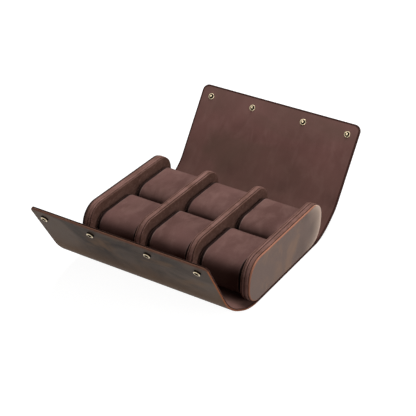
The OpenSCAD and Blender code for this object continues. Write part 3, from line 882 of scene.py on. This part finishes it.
# Profiles as (radius, height, wear) in millimetres, from the middle out and down to the seat
SOCKET = [(0.02, 0.45, 0), (1.0, 0.45, 0), (1.15, 0.63, 0), (2.05, 0.63, 0), (2.3, 0.85, 0),
          (2.32, 1.7, 0), (2.42, 2.1, 0), (2.7, 2.36, 0), (3.0, 2.52, 0.1), (3.15, 2.58, 0.9),
          (3.35, 2.6, 1), (3.8, 2.54, 1), (4.15, 2.42, 1), (4.35, 2.3, 0.6), (4.5, 2.12, 0),
          (4.68, 1.6, 0), (4.72, 0.9, 0), (4.8, 0.6, 0), (4.95, 0.45, 0), (5.0, 0.3, 0),
          (5.0, 0.0, 0)]
STUD = [(0.02, 2.85, 1), (0.5, 2.83, 1), (1.0, 2.72, 0.8), (1.5, 2.44, 0.4), (1.85, 2.06, 0.1),
        (2.05, 1.6, 0), (2.1, 1.2, 0), (2.0, 0.9, 0), (1.75, 0.65, 0), (1.7, 0.4, 0),
        (2.0, 0.28, 0), (2.6, 0.26, 0), (2.95, 0.36, 0.1), (3.3, 0.6, 0.55), (3.6, 0.7, 0.65),
        (4.0, 0.68, 0.65), (4.3, 0.52, 0.6), (4.48, 0.28, 0.4), (4.5, 0.0, 0.2)]
SNAP_SIDES = 48
# Place of the snaps from a flap's free edge, and across the case; the outer one is the sockets' own
SNAP_EDGE = 16 * MM
SNAP_INNER_X = 39.9 * MM
SNAP_OUTER_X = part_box("snap_sockets")[1].x - SOCKET[-1][0] * MM


def make_snaps(name, side, profile, seat_depth, point, nodes):
    """Turned snap parts, one at each centre: each profile point is carried round the axis.

    The axis runs along point, +1 away from the tray or -1 towards it. The parts sit seat_depth
    outside the flap's inner face."""
    words = "front" if side < 0 else "back"
    folds, directions = flap_lines(side)
    rise = directions[-1]
    along = np.array([0.0, side * rise[0], rise[1]])
    outward = np.array([0.0, side * rise[1], -rise[0]])
    start = np.array([0.0, side * folds[-1][0], folds[-1][1]])
    centre = start + along * (flap_length(side) - SNAP_EDGE) + outward * seat_depth
    xs = np.array([-SNAP_OUTER_X, -SNAP_INNER_X, SNAP_INNER_X, SNAP_OUTER_X])
    turn = np.linspace(0, 2 * pi, SNAP_SIDES, endpoint=False)
    radius, height, wear = np.array(profile).T * np.array([[MM], [MM], [1]])
    across = np.array([1.0, 0.0, 0.0])
    ring = np.cos(turn)[:, None] * across + np.sin(turn)[:, None] * along
    shape = radius[:, None, None] * ring + (point * height)[:, None, None] * outward + centre
    points = shape[None] + xs[:, None, None, None] * across
    marks = np.broadcast_to(wear[None, :, None], points.shape[:3])
    piece = closed_piece(name, points, snap_brass, {"wear": marks})
    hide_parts(*nodes)
    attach(piece, f"{words}_flap")


make_snaps("socket_set", -1, SOCKET, WRAP_T, 1, ("snap_sockets", "snap_springs"))
make_snaps("stud_set", 1, STUD, 0.0, -1, ("snap_studs",))


# -------------------------------------------------------------- CAD nodes that stay

def finish_node(node, material):
    """Gives a CAD node its material."""
    slots = frame["nodes"][node].data.materials
    slots.clear()
    slots.append(material)


finish_node("tray_base_board", suede_board)
for part in ("snap_eyelets", "snap_caps"):
    finish_node(part, brass)


# -------------------------------------------------------------- camera, floor and light

CAMERA_SPOT = 0.68824, -1.15895, 0.85612
CAMERA_YAW, CAMERA_PITCH, CAMERA_ROLL = radians(-30.452), radians(30.602), radians(1.503)
# Side of the picture and focal length in pixels, and width of the camera's sensor in millimetres
PICTURE, FOCAL, SENSOR = 416, 1213.1, 36
# Floor: half its side, its drop below the case, its grey, and its glow in shade and where seen
FLOOR_HALF, FLOOR_DROP, FLOOR_GREY = 4.0, 0.0002, 0.25
FLOOR_GLOW, FLOOR_SEEN_GLOW = 0.16, 0.76
# Strength of the world as a light, and where rays show it
WORLD_LIGHT, WORLD_SEEN = 0.06, 1.0
# Name, place, aim, size and power of each lamp
LAMPS = (("top", (-0.1, 0.5, 1.6), (0, 0, 0), 1.1, 34),
         ("front", (0.1, -2.2, 0.8), (0, 0.1, 0.08), 0.7, 19),
         ("right", (1.6, -0.4, 0.7), (0, 0, 0.05), 0.8, 12))


def place_camera():
    """The viewing point that the case is seen from, turned by yaw, pitch and roll."""
    yaw, pitch, roll = CAMERA_YAW, CAMERA_PITCH, CAMERA_ROLL
    ahead = Vector((sin(yaw) * cos(pitch), cos(yaw) * cos(pitch), -sin(pitch)))
    right = Vector((cos(yaw), -sin(yaw), 0))
    up = right.cross(ahead)
    tilted_right = cos(roll) * right + sin(roll) * up
    tilted_up = -sin(roll) * right + cos(roll) * up
    turn = Matrix((tilted_right, tilted_up, -ahead)).transposed()
    data = bpy.data.cameras.new("camera")
    data.sensor_width, data.lens = SENSOR, FOCAL / PICTURE * SENSOR
    camera = bpy.data.objects.new("camera", data)
    camera.matrix_world = Matrix.Translation(Vector(CAMERA_SPOT)) @ turn.to_4x4()
    bpy.context.scene.collection.objects.link(camera)
    bpy.context.scene.camera = camera


def seen_rays(paint):
    """1 for rays that show the background: camera, mirror and see-through rays."""
    seen = paint.node("ShaderNodeLightPath", out="Is Camera Ray")
    glossy = paint.node("ShaderNodeLightPath", out="Is Glossy Ray")
    through = paint.node("ShaderNodeLightPath", out="Is Transmission Ray")
    return (seen + glossy + through).clip()


def make_floor():
    """Pale floor that reads as white and keeps the case's shadow."""
    p = Paint(bpy.data.materials.new("floor"))
    matte = p.node("ShaderNodeBsdfDiffuse", {"Color": (FLOOR_GREY, FLOOR_GREY, FLOOR_GREY, 1)})
    strength = FLOOR_GLOW + seen_rays(p) * FLOOR_SEEN_GLOW
    glow = p.node("ShaderNodeEmission", {"Color": (1, 1, 1, 1), "Strength": strength})
    p.surface(p.node("ShaderNodeAddShader", {0: matte, 1: glow}))
    mesh = bpy.data.meshes.new("floor")
    corners = ((-1, -1), (1, -1), (1, 1), (-1, 1))
    mesh.from_pydata([(x * FLOOR_HALF, y * FLOOR_HALF, -FLOOR_DROP) for x, y in corners], [],
                     [(0, 1, 2, 3)])
    mesh.materials.append(p.owner)
    floor = bpy.data.objects.new("floor", mesh)
    bpy.context.scene.collection.objects.link(floor)


def make_world():
    """World that is a faint light, and white where camera, mirror and see-through rays meet it."""
    p = Paint(bpy.data.worlds.new("studio"))
    strength = WORLD_LIGHT + seen_rays(p) * (WORLD_SEEN - WORLD_LIGHT)
    glow = p.node("ShaderNodeBackground", {"Color": (1, 1, 1, 1), "Strength": strength})
    p.surface(glow, "ShaderNodeOutputWorld")
    bpy.context.scene.world = p.owner


def area_light(name, spot, aim, size, power):
    """Round soft lamp at spot that shines towards aim."""
    data = bpy.data.lights.new(name, "AREA")
    data.shape, data.size, data.energy = "DISK", size, power
    lamp = bpy.data.objects.new(name, data)
    lamp.location = spot
    lamp.rotation_euler = (Vector(aim) - Vector(spot)).to_track_quat("-Z", "Y").to_euler()
    bpy.context.scene.collection.objects.link(lamp)


place_camera()
make_floor()
make_world()
for lamp in LAMPS:
    area_light(*lamp)
bpy.context.scene.view_settings.view_transform = "Standard"
